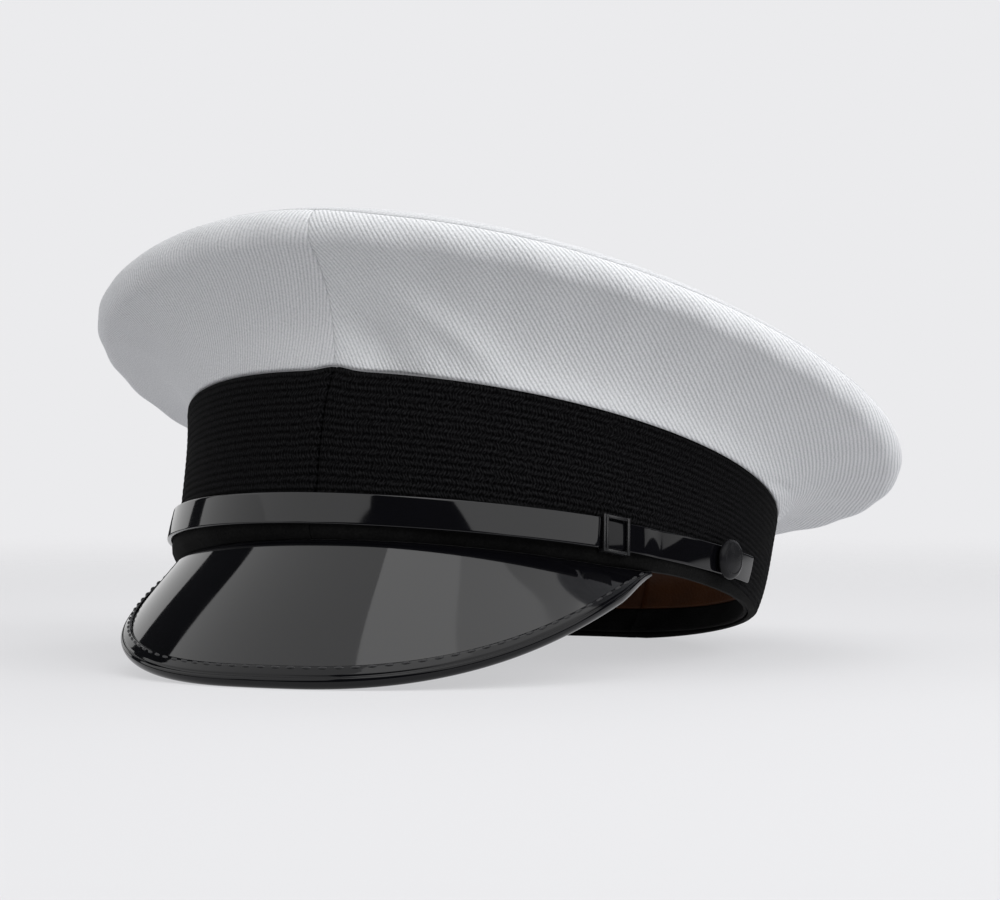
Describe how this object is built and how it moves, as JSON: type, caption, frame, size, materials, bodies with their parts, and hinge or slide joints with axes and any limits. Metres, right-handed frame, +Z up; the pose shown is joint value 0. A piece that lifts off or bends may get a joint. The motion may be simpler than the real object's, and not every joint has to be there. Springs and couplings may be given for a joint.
{
  "type": "peaked cap",
  "caption": "Peaked cap with a wide white twill crown, a black braid band, a glossy black peak with a bound edge and a chin strap on buttons, resting on its peak and rim.",
  "frame": {"origin": "on the floor that the cap rests on, under the middle of its bounding box", "axes": "+Z up from the floor, -Y towards the front of the cap and its peak, +X towards the wearer's left"},
  "size_m": [0.249, 0.2772, 0.1329],
  "materials": {
    "white_twill": "white cotton twill with raised diagonal lines",
    "black_braid": "matt black mohair braid with fine horizontal ribs",
    "black_cloth": "matt black cloth",
    "brown_leather": "smooth brown leather",
    "black_patent": "black patent, mirror gloss",
    "black_metal": "glossy black"
  },
  "bodies": {
    "root": {"crown_side_left": "white_twill", "crown_side_right": "white_twill", "crown_top": "white_twill", "band": "black_braid", "hem_tape": "black_cloth", "sweatband": "brown_leather", "peak": "black_patent", "peak_binding": "black_patent", "strap_front": "black_patent", "strap_tail": "black_patent", "keeper": "black_metal", "button_left": "black_metal", "button_right": "black_metal"}
  },
  "joints": []
}
